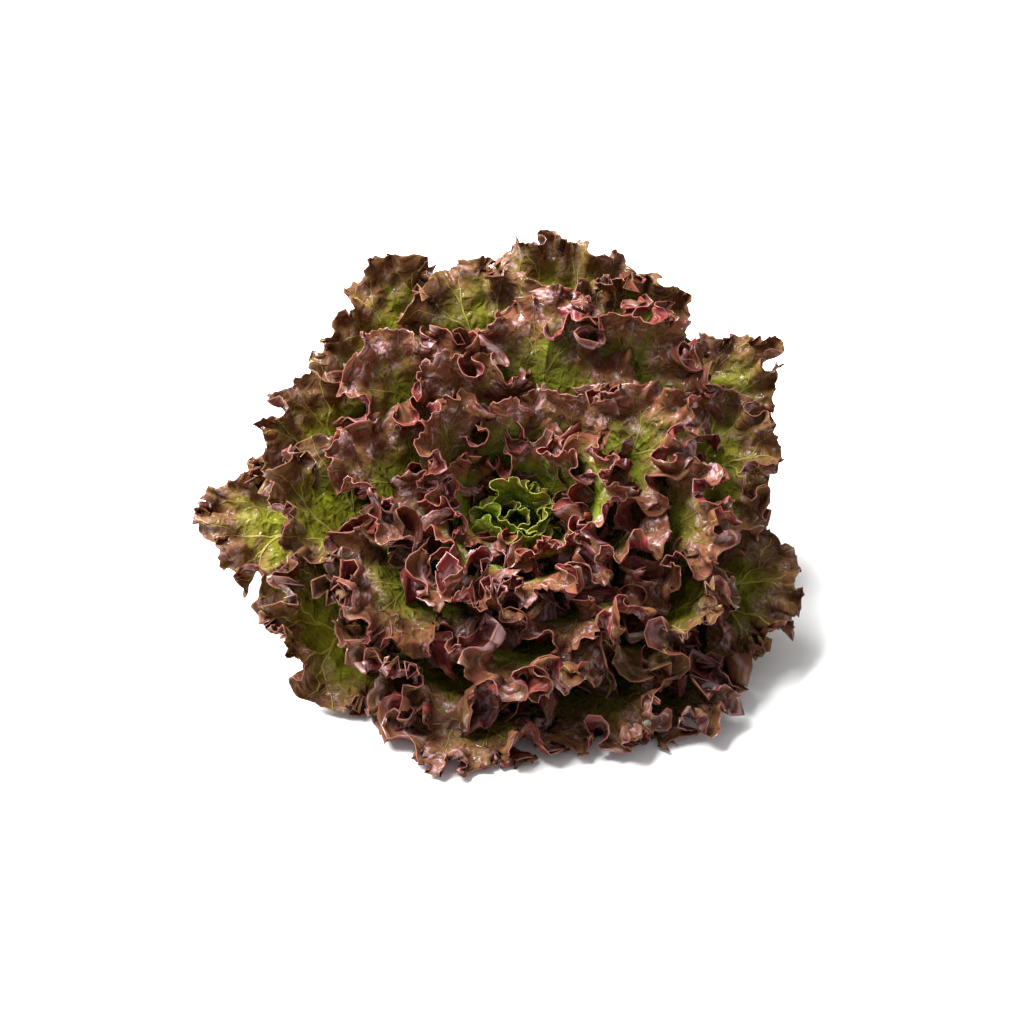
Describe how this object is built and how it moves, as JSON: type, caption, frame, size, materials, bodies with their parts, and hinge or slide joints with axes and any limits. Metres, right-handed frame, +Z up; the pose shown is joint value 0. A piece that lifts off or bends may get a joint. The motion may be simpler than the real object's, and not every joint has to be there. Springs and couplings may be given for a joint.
{
  "type": "red leaf lettuce",
  "caption": "Loose-leaf head of red leaf lettuce: frilled red-edged leaves round an open green heart, resting on its cut stem and front leaves.",
  "frame": {"origin": "middle of the stem's flat cut face, on the surface that the head rests on", "axes": "+Z up, +X to the right of a viewer at -Y, whom the open heart faces; the head's own axis leans 32 degrees from +Z towards -Y"},
  "size_m": [0.2546, 0.2475, 0.1334],
  "materials": {
    "red_leaf": "fresh leaf blade with a soft waxy gloss, olive green inside and maroon along the frilled margin",
    "green_leaf": "tender young leaf blade, bright yellow green with a soft gloss"
  },
  "bodies": {
    "root": {"red_leaves": "red_leaf", "green_heart": "green_leaf"}
  },
  "joints": []
}
